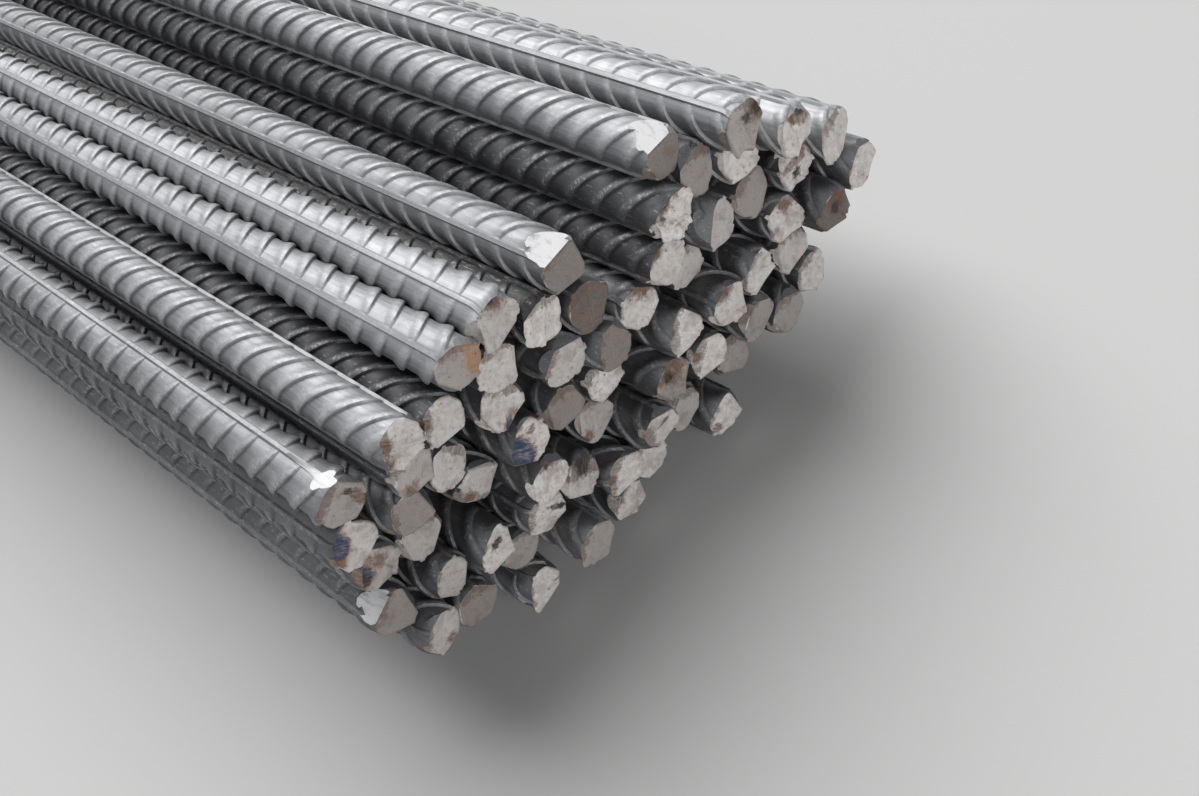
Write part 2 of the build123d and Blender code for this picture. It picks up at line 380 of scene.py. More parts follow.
def near_long_rib(angles, bars):
    """Whether an angle is on a long rib's top or foot."""
    return np.abs(np.sin(angles)) * bars.core < bars.long_rib_width + MERGE


def rib_share(angles):
    """How high a rib stands at each angle, from 0 at the long ribs to 1 between them."""
    return 1 - (1 - np.abs(np.sin(angles))) ** RIB_ROUNDING


def rib_wide(share):
    """How wide a rib is where it stands to a share of its height, from RIB_NARROWEST to 1."""
    return RIB_NARROWEST + (1 - RIB_NARROWEST) * share


def rib_shift(angles, advance):
    """How far along the bar a rib has run at each angle. It runs in a leaning plane."""
    return advance * (1 - np.cos(angles)) / 2


def merge_doubles():
    """Merges the doubles of the active piece and turns its faces outward."""
    bpy.ops.object.mode_set(mode="EDIT")
    bpy.ops.mesh.select_all(action="SELECT")
    bpy.ops.mesh.remove_doubles(threshold=MERGE)
    bpy.ops.mesh.normals_make_consistent(inside=False)
    bpy.ops.object.mode_set(mode="OBJECT")


def repeated(piece, pitch, count, merge=False):
    """The mesh of the active piece repeated towards -X. The piece itself is used up."""
    array = piece.modifiers.new("Pitches", "ARRAY")
    array.count = count
    array.use_relative_offset = False
    array.use_constant_offset = True
    array.constant_offset_displace = (-pitch, 0, 0)
    array.use_merge_vertices = merge
    array.merge_threshold = MERGE
    bpy.ops.object.modifier_apply(modifier=array.name)
    mesh = piece.data
    bpy.data.objects.remove(piece)
    return mesh


def ribbed_stretch(bars):
    """A stretch of bar with its ribs, from X = 0 towards -X, one long rib at +Y."""
    angles = column_angles(bars)
    columns, rows = len(angles), len(ROW_PLACES)
    deselect_all()
    bpy.ops.mesh.primitive_grid_add(x_subdivisions=columns, y_subdivisions=rows, size=1)
    piece = bpy.context.object
    mesh = piece.data
    place = np.array([vert.co for vert in mesh.vertices])
    column = np.rint((place[:, 0] + 0.5) * columns).astype(int) % columns
    row = np.rint((place[:, 1] + 0.5) * rows).astype(int)
    angle, step = angles[column], row % rows
    share = rib_share(angle)
    is_long = np.abs(np.sin(angle)) * bars.core / 2 < bars.long_rib_width / 2 - MERGE
    share[is_long] = 0
    starts = np.array(
        [-bars.rib_pitch / 2 if start is None else start * bars.rib_width for start in ROW_PLACES]
    )
    wide = np.where(step == 0, 1, rib_wide(share))
    along = starts[step] * wide + (row // rows) * bars.rib_pitch
    along += rib_shift(angle, bars.rib_advance)
    radius = bars.core / 2 + np.array(ROW_HEIGHTS)[step] * share * bars.rib_height
    radius[is_long] += bars.long_rib_height
    place = np.stack((along, radius * np.cos(angle), radius * np.sin(angle)), 1)
    mesh.vertices.foreach_set("co", place.ravel())
    # The rows' painted shade at the rib feet, which the finish darkens
    foot_shade = mesh.attributes.new("foot", "FLOAT", "POINT")
    foot_shade.data.foreach_set("value", np.array(ROW_FOOT_SHADE)[step] * share)
    rib_edge = np.isin(step, EDGED_ROWS) & (share > EDGED_SHARE)
    long_edge = near_long_rib(angle, bars)
    for edge in mesh.edges:
        one, two = edge.vertices
        edge.use_edge_sharp = bool(
            (column[one] == column[two] and long_edge[one])
            or (row[one] == row[two] and rib_edge[one] and rib_edge[two])
        )
    merge_doubles()
    stretch = repeated(piece, bars.rib_pitch, STRETCH_PITCHES, merge=True)
    stretch.transform(Matrix.Translation((bars.rib_pitch, 0, 0)))
    return stretch


def far_ribs(bars, sides, count):
    """Plain ribs for the rest of a bar, from X = 0 towards -X, each a closed sliver. They are
    on the sides given, where a side is the angle at which it starts."""
    sunk = bars.core / 2 - FAR_SUNK
    verts, faces = [], []
    for side in sides:
        angles = np.linspace(FAR_TIP, math.pi - FAR_TIP, FAR_STATIONS) + side
        share = rib_share(angles)
        ridge = bars.core / 2 + share * bars.rib_height
        shift = rib_shift(angles, bars.rib_advance)
        wide = bars.rib_width * rib_wide(share)
        rings = []
        for index, angle in enumerate(angles):
            if index in (0, FAR_STATIONS - 1):
                points = ((0, sunk),)
            else:
                points = ((FAR_FOOT[0], sunk), (FAR_RIDGE, ridge[index]), (FAR_FOOT[1], sunk))
            rings.append(range(len(verts), len(verts) + len(points)))
            for across, radius in points:
                x = shift[index] + across * wide[index]
                verts.append((x, radius * math.cos(angle), radius * math.sin(angle)))
        for one, two in zip(rings, rings[1:]):
            for i, j in ((0, 1), (1, 2), (2, 0)):
                if len(one) == 1:
                    faces.append((one[0], two[j], two[i]))
                elif len(two) == 1:
                    faces.append((one[i], one[j], two[0]))
                else:
                    faces.append((one[i], one[j], two[j], two[i]))
    mesh = bpy.data.meshes.new("far_ribs")
    mesh.from_pydata(verts, [], faces)
    return repeated(object_of(mesh, "far_ribs"), bars.rib_pitch, count)


def bar_matrix(bar, x):
    """Moves ribs that are modelled about the X axis to their bar."""
    return Matrix.Translation((x, bar.y, bar.z)) @ Matrix.Rotation(bar.turn, 4, "X")


def slice_off(work, point, normal, clear=True):
    """Divides a mesh by a plane, clears what is past it, and gives what lies on it."""
    geometry = work.verts[:] + work.edges[:] + work.faces[:]
    return bmesh.ops.bisect_plane(
        work, geom=geometry, dist=MERGE / 10, plane_co=point, plane_no=normal, clear_outer=clear
    )["geom_cut"]


def place_far_ribs(bar, bars, sides, slide, detail):
    """The plain ribs of a bar in their place, cut off at its far end."""
    skipped = math.ceil((slide + detail) / bars.rib_pitch)
    start = bar.near + slide - skipped * bars.rib_pitch
    count = int((start + bars.rib_advance - bar.far) / bars.rib_pitch)
    ribs = far_ribs(bars, sides, count)
    ribs.transform(bar_matrix(bar, start))
    work = bmesh.new()
    work.from_mesh(ribs)
    slice_off(work, (bar.far + FAR_STEP, 0, 0), (-1, 0, 0))
    bmesh.ops.holes_fill(work, edges=[edge for edge in work.edges if edge.is_boundary])
    bmesh.ops.recalc_face_normals(work, faces=work.faces)
    work.to_mesh(ribs)
    work.free()
    ribs.shade_smooth()
    return ribs


def seen_sides(bar, every):
    """The sides of a bar, between its long ribs, of which enough shows past other bars."""
    others = [other for other in every if other is not bar]
    centres = np.array([(other.y, other.z) for other in others])
    reach = np.array([other.radius for other in others]) * SEEN_WIDTH
    seen = {0: 0, math.pi: 0}
    for turn in np.linspace(0, 2 * math.pi, SEEN_STEPS, endpoint=False):
        side = 0 if math.sin(turn - bar.turn) > 0 else math.pi
        place = np.array((math.cos(turn), math.sin(turn))) * bar.radius
        away = centres - place - (bar.y, bar.z)
        for lean in SEEN_LEANS:
            sight = np.array((math.cos(turn + lean), math.sin(turn + lean)))
            along = away @ sight
            past = np.linalg.norm(away - along[:, None] * sight, axis=1)
            if not ((along > 0) & (past < reach)).any():
                seen[side] += 1
                break
    return [side for side, steps in seen.items() if steps >= SEEN_LEAST]


def close_off(work, edges, mark, value):
    """Closes a loop of edges with one face that has a sharp edge, and marks it."""
    for face in bmesh.ops.edgeloop_fill(work, edges=edges)["faces"]:
        face[mark] = value
        for edge in face.edges:
            edge.smooth = False


def cut(work, point, normal, mark, value):
    """Cuts a bar with a plane, closes the cut with one face and marks that face."""
    made = slice_off(work, point, normal)
    edges = [item for item in made if isinstance(item, bmesh.types.BMEdge) and item.is_boundary]
    if edges:
        close_off(work, edges, mark, value)


def torn_relief(place, seed):
    """How far torn steel stands out at a place on an end, from about -1 to 1."""
    spot = Vector(place) * TEAR_SPOTS + Vector((seed * 7.3, seed * 3.1, 0))
    return noise.fractal(spot, 0.8, 2.1, 4) + 0.5 * noise.noise(spot * 3.5)


def toward(angle):
    """The direction across a bar at an angle in degrees, from +Y towards +Z."""
    return Vector((0, math.cos(math.radians(angle)), math.sin(math.radians(angle))))


def leaning_plane(bar, deep, long, angle):
    """A plane that cuts an edge off a bar's end: how deep, how long, and on which side."""
    slope = math.atan2(deep, long)
    side = toward(angle)
    point = bar.end + side * (bar.radius - deep * MM)
    return point, side * math.cos(slope) + Vector((math.sin(slope), 0, 0))


def draw_down(work, bar, look):
    """Rolls the bar's skin over where the shear came in, as the blade drew it down."""
    long, deep = (size * MM for size in look.roll)
    side = toward(look.bite)
    for vert in work.verts:
        back = (bar.end - vert.co).dot(bar.face)
        if back < long:
            offset = Vector((0, vert.co.y - bar.y, vert.co.z - bar.z))
            facing = offset.dot(side) / bar.radius
            share = min(max((facing - ROLL_START) / (1 - ROLL_START), 0), 1) ** 1.5
            vert.co -= side * deep * share * (1 - max(back, 0) / long) ** 2


def raise_burr(outline, middle, normal, burr):
    """Draws one side of an end's outline out and forward."""
    angle, out, forward = burr
    side = toward(angle)
    for vert in outline:
        facing = (vert.co - middle).normalized().dot(side)
        share = max((facing - BURR_START) / (1 - BURR_START), 0) ** 1.5
        vert.co += (side * out + normal * forward * 0.4) * MM * share
        vert.co += side * forward * 0.5 * MM * share


def shear_face(work, face, bar, look, mark, seed):
    """Turns an end's flat face into rings with relief: a smooth part where the blade came in,
    a torn part past it, and an edge that stands up on the far side."""
    blade = -toward(look.bite)
    normal = face.normal.copy()
    if normal.dot(bar.face) < 0:
        normal.negate()
    bmesh.ops.subdivide_edges(work, edges=face.edges[:], cuts=1)
    outline = list(face.verts)
    count = len(outline)
    middle = sum((vert.co for vert in outline), Vector()) / count
    bmesh.ops.delete(work, geom=[face], context="FACES_ONLY")
    tear = look.tear * MM

    def relief(place):
        along = (place - middle).dot(blade) / bar.radius - look.wiped
        torn = min(max(along * 4, 0.1), 1)
        ledge = math.tanh((along + 0.2 * torn_relief(place * 0.5, seed)) * 9)
        return torn * (tear * torn_relief(place, seed) + along * MM) + ledge * tear * 0.4

    for vert in outline:
        along = (vert.co - middle).dot(blade) / bar.radius
        if along > RAGGED_START:
            edge = (vert.co - middle).normalized()
            ragged = torn_relief(vert.co * 1.7, seed + 9) * (along - RAGGED_START)
            vert.co += edge * ragged * tear * 0.5 + normal * abs(ragged) * tear
    if look.burr:
        raise_burr(outline, middle, normal, look.burr)
    rings = [outline]
    for factor in END_RINGS:
        ring = []
        for vert in outline:
            place = middle + (vert.co - middle) * factor
            ring.append(work.verts.new(place + normal * relief(place)))
        rings.append(ring)
    tip = work.verts.new(sum((vert.co for vert in rings[-1]), Vector()) / count)
    pairs = [(i, (i + 1) % count) for i in range(count)]
    made = [
        work.faces.new((outer[i], outer[j], inner[j], inner[i]))
        for outer, inner in zip(rings, rings[1:])
        for i, j in pairs
    ]
    made += [work.faces.new((rings[-1][i], rings[-1][j], tip)) for i, j in pairs]
    for item in made:
        item[mark] = TORN
    rim = work.verts.layers.float["rim"]
    for i, j in pairs:
        outline[i][rim] = 1
        work.edges.get((outline[i], outline[j])).smooth = False


def near_end(work, bar, look, mark, index):
    """Shears a bar's near end and shapes it."""
    cut(work, bar.end, bar.face, mark, TORN)
    for back in END_LOOPS:
        slice_off(work, bar.end - bar.face * back * MM, bar.face, clear=False)
    draw_down(work, bar, look)
    for value, planes in ((SKIN, look.chamfers), (FLAT, look.flats)):
        for deep, long, angle in planes:
            cut(work, *leaning_plane(bar, deep, long, angle), mark, value)
    if not look.chamfers:
        chance = random.Random(index + 40)
        start = chance.uniform(0, 90)
        for value, turn in GUESSED_CHAMFERS:
            size = chance.uniform(1.2, 2.8)
            angle = start + turn + chance.uniform(-25, 25)
            cut(work, *leaning_plane(bar, size, size * 1.4, angle), mark, value)
    ends = [item for item in work.faces if item[mark] == TORN and item.normal.x > 0.5]
    shear_face(work, max(ends, key=lambda item: item.calc_area()), bar, look, mark, index)


def plain_length(work, edges, bar, bars, back):
    """Runs a bar on to its far end without its slanting ribs, and gives that end's edges."""
    # The painted shade at the rib feet is 0 on the plain length
    foot = work.verts.layers.float["foot"]
    for step in (PLAIN_STEP, back - bar.far):
        made = bmesh.ops.extrude_edge_only(work, edges=edges)["geom"]
        edges = [item for item in made if isinstance(item, bmesh.types.BMEdge)]
        around = set(edges)
        for vert in (item for item in made if isinstance(item, bmesh.types.BMVert)):
            vert[foot] = 0
            offset = Vector((vert.co.y - bar.y, vert.co.z - bar.z))
            angle = math.atan2(offset.y, offset.x) - bar.turn
            radius = bars.core / 2
            if abs(math.sin(angle)) * radius < bars.long_rib_top / 2 + MERGE:
                radius += bars.long_rib_height
            offset = offset.normalized() * radius
            vert.co = (back - step, bar.y + offset.x, bar.z + offset.y)
            for edge in vert.link_edges:
                edge.smooth = edge in around or not near_long_rib(angle, bars)
    return edges


def bar_mesh(bar, look, stretch, bars, index):
    """A bar with full ribs near its sheared end and a plain length behind them. Gives its mesh
    and where its ribs start, from the end's middle."""
    work = bmesh.new()
    work.from_mesh(stretch)
    mark = work.faces.layers.float.new("cut")
    work.verts.layers.float.new("rim")
    bar.turn += math.radians(look.twist)
    slide = random.Random(index).uniform(0, bars.rib_pitch) + STRETCH_LEAD
    bmesh.ops.transform(work, matrix=bar_matrix(bar, bar.near + slide), verts=work.verts)
    back = bar.near - look.detail * MM
    slice_off(work, (back, 0, 0), (-1, 0, 0))
    edges = [
        edge for edge in work.edges if edge.is_boundary and edge.verts[0].co.x < back + MERGE
    ]
    close_off(work, plain_length(work, edges, bar, bars, back), mark, TORN)
    near_end(work, bar, look, mark, index)
    bmesh.ops.recalc_face_normals(work, faces=work.faces)
    mesh = bpy.data.meshes.new("bar")
    for item in work.faces:
        item.smooth = True
    work.to_mesh(mesh)
    work.free()
    return mesh, slide


def add_attributes(mesh, bar, look, bars, index):
    """Gives a bar's mesh what its finish reads: its own coordinates, crests, tones and stains."""
    count = len(mesh.vertices)
    place = np.empty(count * 3)
    mesh.vertices.foreach_get("co", place)
    place = place.reshape(-1, 3) - (bar.near, bar.y, bar.z)
    radius = np.hypot(place[:, 1], place[:, 2])
    side = toward(look.bite)
    across = place[:, 1:] @ np.array(((side.y, -side.z), (side.z, side.y)))
    values = {
        "crest": np.clip((radius - bars.core / 2) / bars.rib_height, 0, 1),
        "end": -place[:, 0],
        "up": place[:, 2] / bar.radius,
        "skin": np.full(count, look.skin),
        "pale": np.full(count, look.pale),
        "torn": -across[:, 0] / bar.radius - look.wiped,
        "own": np.column_stack((place[:, 0] + index * PATTERN_STEP, across)),
    }
    for kind in STAINS:
        values[kind] = np.zeros(count)
        for angle, share, size in getattr(look, kind):
            spot = toward(angle) * share * bar.radius
            away = np.hypot(place[:, 1] - spot.y, place[:, 2] - spot.z)
            values[kind] += np.exp(-((away / (size * MM)) ** 2)) * (place[:, 0] > -STAIN_DEPTH)
    for name, numbers in values.items():
        is_vector = numbers.ndim == 2
        layer = mesh.attributes.new(name, "FLOAT_VECTOR" if is_vector else "FLOAT", "POINT")
        layer.data.foreach_set("vector" if is_vector else "value", numbers.ravel())


class REBAR_OT_bars(bpy.types.Operator):
    """Models the bars of every layer, with their ribs and their sheared ends"""

    bl_idname = "rebar.bars"
    bl_label = "Bars"

    def execute(self, context):
        bars = context.scene.rebar_bars
        material = bar_steel(context.scene.rebar_finish)
        stretch = ribbed_stretch(bars)
        nodes = nodes_like("bars_layer")
        layers = {node: bars_in(node) for node in nodes}
        every = [bar for group in layers.values() for bar in group]
        index = 0
        for layer, node in enumerate(nodes, start=1):
            parts = []
            for number, bar in enumerate(layers[node], start=1):
                index += 1
                look = LOOKS[layer, number]
                mesh, slide = bar_mesh(bar, look, stretch, bars, index)
                add_attributes(mesh, bar, look, bars, index)
                parts.append(object_of(mesh, f"bar_{layer}_{number}"))
                sides = seen_sides(bar, every)
                if sides:
                    ribs = place_far_ribs(bar, bars, sides, slide, look.detail * MM)
                    add_attributes(ribs, bar, look, bars, index)
                    parts.append(object_of(ribs, f"ribs_{layer}_{number}"))
            deselect_all()
            for part in parts:
                part.select_set(True)
            bpy.context.view_layer.objects.active = parts[0]
            if len(parts) > 1:
                bpy.ops.object.join()
            piece = parts[0]
            even = piece.modifiers.new("Even bands", "WEIGHTED_NORMAL")
            even.keep_sharp = True
            bpy.ops.object.modifier_apply(modifier=even.name)
            piece.name = f"layer_{layer}_bars"
            piece.data.materials.clear()
            piece.data.materials.append(material)
            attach(piece, "root")
            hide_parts(node)
        return {"FINISHED"}


class Finish:
    """The nodes of a material or a world, with short ways to make them."""

    def __init__(self, owner):
        owner.use_nodes = True
        self.owner = owner
        self.nodes = owner.node_tree.nodes
        self.links = owner.node_tree.links
        self.place = None

    def feed(self, socket, value):
        """Links or sets a socket."""
        if isinstance(value, bpy.types.NodeSocket):
            self.links.new(value, socket)
        else:
            socket.default_value = (*value, 1) if socket.type == "RGBA" else value

    def give(self, name, value, shader="Principled BSDF"):
        """Gives the shader one of its inputs."""
        self.feed(self.nodes[shader].inputs[name], value)

    def node(self, kind, output, inputs, **settings):
        """Adds a node, feeds its inputs and hands on one of its outputs."""
        node = self.nodes.new("ShaderNode" + kind)
        for name, value in settings.items():
            setattr(node, name, value)
        for name, value in inputs.items():
            self.feed(node.inputs[name], value)
        return node.outputs[output]

    def attribute(self, name, output="Fac"):
        return self.node("Attribute", output, {}, attribute_name=name)

    def noise(self, scale, detail, rough, stretch=(1, 1, 1)):
        """Noise in the piece's own coordinates, with its scale in spots per metre."""
        place = self.node("Mapping", "Vector", {"Vector": self.place, "Scale": stretch})
        return self.node(
            "TexNoise", "Fac",
            {"Vector": place, "Scale": scale, "Detail": detail, "Roughness": rough},
        )

    def between(self, value, low, high, to_low=0, to_high=1):
        """Stretches the values from low to high over a new range."""
        span = {"From Min": low, "From Max": high, "To Min": to_low, "To Max": to_high}
        return self.node("MapRange", "Result", {"Value": value, **span})

    def spots(self, low, high, scale, detail, rough, stretch=(1, 1, 1), to=(0, 1)):
        """Noise of which the part from low to high is stretched over a new range."""
        return self.between(self.noise(scale, detail, rough, stretch), low, high, *to)

    def maths(self, operation, one, two, clamp=True):
        inputs = {0: one, 1: two}
        return self.node("Math", 0, inputs, operation=operation, use_clamp=clamp)

    def plus(self, one, two, clamp=True):
        """A sum, which can go below 0 and above 1 only without its clamp."""
        return self.maths("ADD", one, two, clamp)

    def times(self, one, two):
        return self.maths("MULTIPLY", one, two)

    def mixed(self, share, one, two):
        """Two colours mixed by a share from 0 to 1."""
        return self.node("Mix", 2, {"Factor": share, 6: one, 7: two}, data_type="RGBA")

    def coated(self, colour, *coats):
        """A colour with others laid over it, each after its share."""
        for share, coat in coats:
            colour = self.mixed(share, colour, coat)
        return colour

    def bump(self, height, distance, strength):
        inputs = {"Height": height, "Distance": distance, "Strength": strength}
        self.give("Normal", self.node("Bump", "Normal", inputs))


def skin_colour(make, finish):
    """Mill scale: patches, streaks along the bar, flakes, a tone lighter towards the top and the
    end, crests rubbed bright and partly a painted highlight, and painted shade deep in the bundle
    and at the rib feet.
    """
    patches = make.spots(0.36, 0.64, 45, 5, 0.62, (0.3, 1, 1))
    streaks = make.spots(0.35, 0.7, 520, 3, 0.6, (0.03, 1, 1))
    speckle = make.spots(0.6, 0.7, 700, 3, 0.65, (0.25, 1, 1))
    skin = make.attribute("skin")
    # A lighter tone towards the top of a bar and towards its end, by its lightness above 0
    top_and_end_share = make.times(
        make.between(make.attribute("end"), 0.05, 0.6, 0.74, 0.5),
        make.between(make.attribute("up"), 0.1, 0.85, 0.35, 1),
    )
    crest = make.between(make.attribute("crest"), 0.5, 1.0)
    rubbed_and_highlight = make.spots(0.5, 0.62, 420, 4, 0.7, to=(0.12, 0.6))
    pits = make.spots(0.66, 0.72, 900, 3, 0.6, to=(0, 0.6))
    # How strong the painted shade at the rib feet is, in patches
    patchy_shade = make.spots(0.3, 0.7, 70, 3, 0.6, to=(0.15, 0.5))
    return make.coated(
        make.mixed(patches, finish.dark_colour, finish.scale_colour),
        (make.times(skin, top_and_end_share), finish.worn_colour),
        # Painted shade: bars whose lightness is below 0 darken, as deep in the bundle
        (make.between(skin, 0, -1), finish.grime_and_shade_colour),
        (make.times(streaks, 0.4), finish.dark_colour),
        (make.times(speckle, 0.25), finish.facet_colour),
        # Crests rubbed bright: partly worn scale, partly a painted highlight
        (make.times(crest, rubbed_and_highlight), finish.worn_colour),
        (pits, finish.grime_and_shade_colour),
        # Painted shade along one side of each rib's foot
        (make.times(make.attribute("foot"), patchy_shade), finish.grime_and_shade_colour),
    )


def slots(make):
    """A few long dark hollows where torn steel split."""
    hollow = make.spots(0.66, 0.74, 150, 2, 0.5, (1, 0.3, 1))
    return make.times(hollow, make.spots(0.45, 0.6, 60, 1, 0.5))


def wiped_share(make):
    """Where the blade wiped an end's steel before it tore, with a ragged edge."""
    ragged = make.spots(0.3, 0.7, 190, 5, 0.65, to=(-0.25, 0.25))
    place = make.plus(make.attribute("torn"), ragged, clamp=False)
    return make.between(place, -0.06, 0.06, 1, 0)


def end_colour(make, finish):
    """Sheared steel: wiped and torn parts, each bar's lightness, light rust, stains and painted
    glints along the outline.
    """
    grain = make.spots(0.34, 0.66, 260, 5, 0.7, (1, 0.5, 1))
    drawn = make.spots(0.35, 0.65, 800, 3, 0.6, (1, 0.06, 1))
    fine = make.spots(0.45, 0.7, 1500, 3, 0.65)
    cloud = make.spots(0.5, 0.74, 100, 5, 0.65)
    pale = make.attribute("pale")
    steel = make.mixed(pale, finish.dull_colour, finish.cut_colour)
    wiped = make.mixed(make.times(drawn, 0.5), finish.dull_colour, steel)
    wiped = make.mixed(make.times(grain, 0.45), wiped, finish.rust_colour)
    hollow = make.times(slots(make), make.between(pale, 0.4, 0.8, 0.0, 0.8))
    colour = make.coated(
        steel,
        (make.times(make.times(grain, pale), 0.3), finish.dull_colour),
        (make.times(fine, 0.15), finish.facet_colour),
        (make.times(cloud, 0.5), finish.rust_colour),
        (make.times(wiped_share(make), 0.8), wiped),
        (hollow, finish.pit_colour),
    )
    ragged = make.spots(0.25, 0.75, 420, 5, 0.7, to=(-0.3, 0.3))
    streaked = make.spots(0.35, 0.65, 900, 2, 0.5, (1, 0.1, 1), (0.2, 0.6))
    for name, tint, full, edge in (
        ("rust", finish.rust_colour, 0.3, 0.12),
        ("orange", finish.orange_colour, 0.2, 0.12),
        ("blue", finish.orange_colour, 0, -0.05),
        ("blue", finish.temper_colour, 0.48, 0.2),
        ("dark", finish.pit_colour, 0.5, 0.12),
    ):
        place = make.plus(make.attribute(name), ragged, clamp=False)
        spot = make.between(place, edge, edge + 0.38)
        colour = make.mixed(make.times(spot, make.plus(streaked, full)), colour, tint)
    rim = make.between(make.attribute("rim"), 0.35, 0.95)
    rusty = make.spots(0.4, 0.6, 90, 3, 0.6, to=(0.1, 0.7))
    # Painted highlight: bright glints along an end's outline
    glint = make.spots(0.5, 0.62, 140, 3, 0.6)
    return make.coated(
        colour,
        (make.times(rim, rusty), finish.rust_colour),
        (make.times(rim, glint), finish.facet_colour),
    )


def facet_colour(make, finish):
    """The flats beside an end: bright wiped steel that fades in streaks back to the scale."""
    streaks = make.spots(0.35, 0.65, 380, 4, 0.6, (0.12, 1, 1))
    back = make.between(make.attribute("end"), 0.008, 0.03)
    share = make.between(make.plus(make.times(streaks, 0.5), make.times(back, 0.6)), 0.3, 0.9)
    return make.mixed(share, finish.facet_colour, finish.scale_colour)


def bar_steel(finish):
    """Mill scale on ribbed steel, with rubbed crests that are partly a painted highlight, painted
    shade, and bare sheared ends with painted glints.
    """
    make = Finish(bpy.data.materials.new("bar_steel"))
    make.place = make.attribute("own", "Vector")
    is_cut = make.attribute("cut")
    bare = make.between(is_cut, 0.3, 0.6)
    colour = make.mixed(bare, skin_colour(make, finish), end_colour(make, finish))
    colour = make.mixed(make.between(is_cut, 1.3, 1.6), colour, facet_colour(make, finish))
    make.give("Base Color", colour)
    rough = make.spots(0.3, 0.7, 160, 3, 0.6, to=(0.5, 0.62))
    make.give("Roughness", make.plus(rough, make.times(bare, 0.12)))
    make.give("Metallic", make.between(bare, 0, 1, 0.5, 0.2))
    torn = make.times(bare, make.between(make.attribute("pale"), 0.2, 0.8, 0.1, 0.35))
    height = make.plus(
        make.times(make.noise(110, 3, 0.5, (0.35, 1, 1)), 0.06),
        make.times(make.noise(800, 4, 0.65), make.plus(torn, 0.05)),
    )
    make.bump(height, 0.0008, 0.4)
    return make.owner


def tie_wire(finish):
    """Drawn wire with thin scale and light rust."""
    make = Finish(bpy.data.materials.new("tie_wire"))
    make.place = make.node("TexCoord", "Object", {})
    patches = make.spots(0.35, 0.65, 150, 4, 0.6)
    rust = make.spots(0.5, 0.68, 70, 5, 0.65)
    colour = make.mixed(patches, finish.dark_colour, finish.worn_colour)
    colour = make.mixed(make.times(rust, 0.6), colour, finish.rust_colour)
    make.give("Base Color", colour)
    rough = make.spots(0.3, 0.7, 260, 3, 0.6, to=(0.38, 0.6))
    make.give("Roughness", rough)
    make.give("Metallic", 0.5)
    make.bump(make.noise(900, 4, 0.6), 0.0004, 0.4)
    return make.owner


def hull(points):
    """The corners of the convex outline round points, in order."""
    points = sorted(points)

    def half(run):
        corners = []
        for point in run:
            while len(corners) > 1:
                (y1, z1), (y2, z2) = corners[-2:]
                if (y2 - y1) * (point[1] - z1) - (z2 - z1) * (point[0] - y1) > 0:
                    break
                corners.pop()
            corners.append(point)
        return corners[:-1]

    return half(points) + half(reversed(points))


def rounded_outline(corners, reach, step):
    """Places on the outline at a distance round corners, from the middle of its highest
    straight run, and that run's outward direction."""
    runs = list(zip(corners, corners[1:] + corners[:1]))
    top = max(range(len(runs)), key=lambda i: runs[i][0][1] + runs[i][1][1])
    runs = runs[top:] + runs[:top]
    outward = []
    for one, two in runs:
        run = Vector((two[0] - one[0], two[1] - one[1])).normalized()
        outward.append(Vector((run.y, -run.x)))
    places = []
    for (one, two), out, following in zip(runs, outward, outward[1:] + outward[:1]):
        turn = out.angle_signed(following)
        pieces = max(1, math.ceil(abs(turn) / step))
        for piece in range(pieces + 1):
            direction = out.copy()
            direction.rotate(Matrix.Rotation(-turn * piece / pieces, 2))
            places.append(Vector(two) + direction * reach)
    seat = (Vector(runs[0][0]) + Vector(runs[0][1])) / 2 + outward[0] * reach
    return seat, outward[0], places


def tie_route(x, corners, ties, end):
    """The wire's whole route: one twisted end, round the bundle, and the other twisted end."""
    radius = ties.wire / 2
    seat, out, places = rounded_outline(corners, ties.reach, BEND_STEP)
    along = Vector((-out.y, out.x))
    axis = seat + out * radius
    length = end - x

    def strand(phase):
        points = []
        steps = math.ceil(length / ties.twist_pitch * TURN_POINTS)
        for step in range(steps + 1):
            share = step / steps
            angle = phase + share * length / ties.twist_pitch * 2 * math.pi
            off = along * math.cos(angle) * radius + out * math.sin(angle) * radius
            points.append((x + radius + (length - radius) * share, *(axis + off)))
        return points

    first = [(x, *(seat + along * radius * 4)), (x + radius * 0.3, *(seat + along * radius * 2))]
    last = [(x + radius * 0.3, *(seat - along * radius * 2)), (x, *(seat - along * radius * 4))]
    loop = [(x, *place) for place in places]
    return strand(0)[::-1] + first + loop + last[::-1] + strand(math.pi)


def tie_piece(route, ties, name):
    """A wire along a route, as a mesh."""
    curve = bpy.data.curves.new(name, "CURVE")
    curve.dimensions = "3D"
    curve.bevel_depth = ties.wire / 2
    curve.bevel_resolution = 2
    curve.resolution_u = 3
    curve.use_fill_caps = True
    spline = curve.splines.new("NURBS")
    spline.points.add(len(route) - 1)
    for point, place in zip(spline.points, route):
        point.co = (*place, 1)
    spline.order_u = 3
    spline.use_endpoint_u = True
    piece = object_of(curve, name)
    bpy.ops.object.convert(target="MESH")
    merge_doubles()
    bpy.ops.object.shade_smooth_by_angle(angle=math.radians(40))
    return bpy.context.object


class REBAR_OT_ties(bpy.types.Operator):
    """Draws the wire ties round the bundle, with their ends twisted together"""

    bl_idname = "rebar.ties"
    bl_label = "Wire ties"

    def execute(self, context):
        ties = context.scene.rebar_ties
        material = tie_wire(context.scene.rebar_finish)
        bars = [bar for node in nodes_like("bars_layer") for bar in bars_in(node)]
        corners = hull([(bar.y, bar.z) for bar in bars])
        for node in nodes_like("wire_tie"):
            low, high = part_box(node)
            x = low[0] + ties.wire / 2
            piece = tie_piece(tie_route(x, corners, ties, high[0]), ties, f"{node}_drawn")
            piece.data.materials.clear()
            piece.data.materials.append(material)
            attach(piece, "root")
            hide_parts(node)
        return {"FINISHED"}


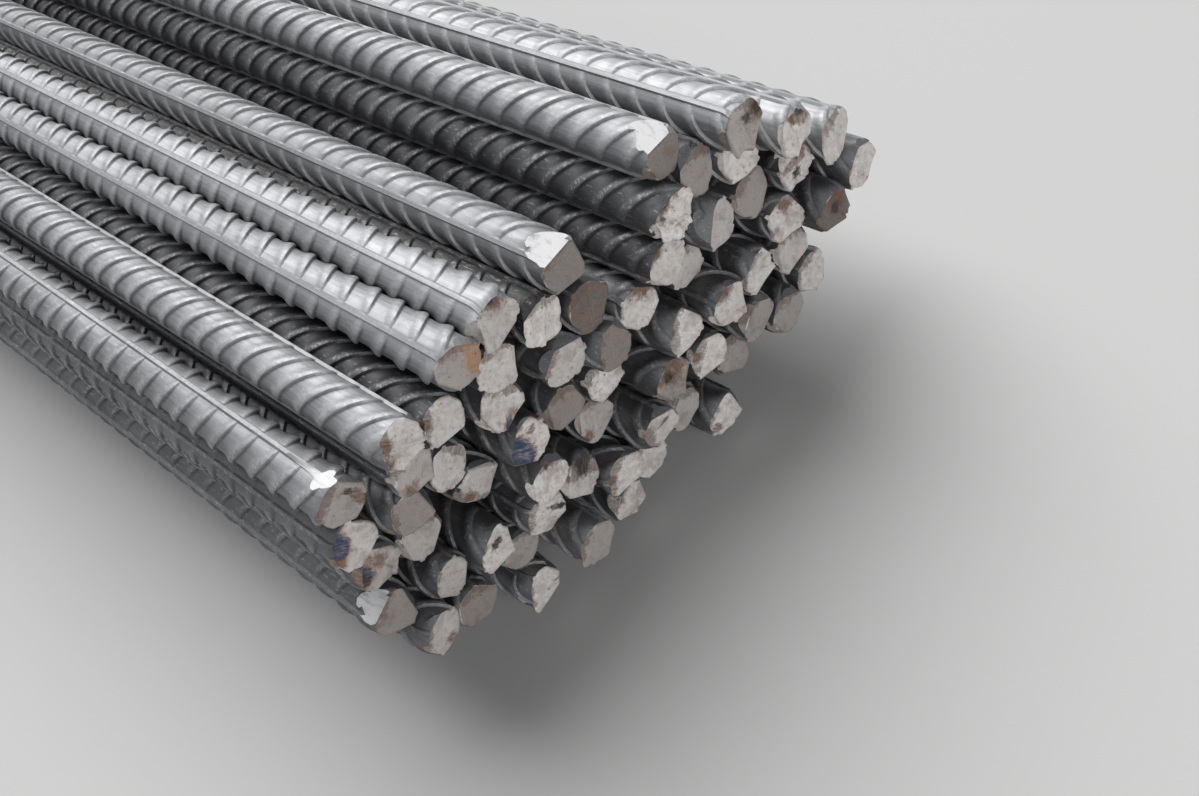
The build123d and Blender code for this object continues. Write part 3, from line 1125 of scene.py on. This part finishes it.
class REBAR_OT_stage(bpy.types.Operator):
    """Sets the floor, the lights, the world and the camera"""

    bl_idname = "rebar.stage"
    bl_label = "Stage"

    def execute(self, context):
        stage = context.scene.rebar_stage
        scene = context.scene
        scene.view_settings.view_transform = "Standard"
        deselect_all()
        bpy.ops.mesh.primitive_plane_add(size=120)
        floor = context.object
        floor.name = "floor"
        make = Finish(bpy.data.materials.new("floor"))
        make.give("Base Color", stage.floor_colour)
        make.give("Roughness", 0.9)
        floor.data.materials.append(make.owner)
        world = Finish(scene.world or bpy.data.worlds.new("world"))
        scene.world = world.owner
        seen = world.node("LightPath", "Is Camera Ray", {})
        for ray in ("Is Glossy Ray", "Is Transmission Ray"):
            other = world.node("LightPath", ray, {})
            seen = world.maths("MAXIMUM", seen, other)
        light = world.between(seen, 0, 1, stage.room_light, stage.background)
        world.give("Color", (0.93, 0.96, 1), "Background")
        world.give("Strength", light, "Background")
        for name, source, softness, power in (
            ("sky", (-0.54, 0.36, 0.76), 55, stage.sky_light),
            ("fill", (0.93, -0.12, 0.35), 40, stage.fill_light),
        ):
            bpy.ops.object.light_add(type="SUN", location=source)
            lamp = context.object
            lamp.name = name
            lamp.data.angle = math.radians(softness)
            lamp.data.energy = power
            lamp.rotation_euler = Vector(source).to_track_quat("Z", "Y").to_euler()
        bpy.ops.object.camera_add(location=stage.camera_place)
        camera = context.object
        camera.name = "camera"
        camera.rotation_euler = Euler(stage.camera_turn)
        camera.data.lens = stage.lens
        camera.data.sensor_width = 36
        camera.data.clip_start = 0.02
        camera.data.clip_end = 60
        scene.camera = camera
        return {"FINISHED"}


class REBAR_PT_panel(bpy.types.Panel):
    """The bundle's operators and settings"""

    bl_idname = "REBAR_PT_panel"
    bl_label = "Rebar bundle"
    bl_space_type = "VIEW_3D"
    bl_region_type = "UI"
    bl_category = "Rebar bundle"

    def draw(self, context):
        for kind, settings in (
            (REBAR_OT_bars, "rebar_bars"),
            (REBAR_OT_ties, "rebar_ties"),
            (REBAR_OT_stage, "rebar_stage"),
            (None, "rebar_finish"),
        ):
            box = self.layout.box()
            if kind:
                box.operator(kind.bl_idname)
            group = getattr(context.scene, settings)
            for name in group.__annotations__:
                box.prop(group, name)


SETTINGS = {
    "rebar_bars": BarSettings,
    "rebar_ties": TieSettings,
    "rebar_finish": FinishSettings,
    "rebar_stage": StageSettings,
}
CLASSES = (*SETTINGS.values(), REBAR_OT_bars, REBAR_OT_ties, REBAR_OT_stage, REBAR_PT_panel)


def register():
    for kind in CLASSES:
        bpy.utils.register_class(kind)
    for name, group in SETTINGS.items():
        setattr(bpy.types.Scene, name, PointerProperty(type=group))


def unregister():
    for name in SETTINGS:
        delattr(bpy.types.Scene, name)
    for kind in reversed(CLASSES):
        bpy.utils.unregister_class(kind)


def main():
    register()
    bpy.ops.rebar.bars()
    bpy.ops.rebar.ties()
    bpy.ops.rebar.stage()


if __name__ == "__main__":
    main()
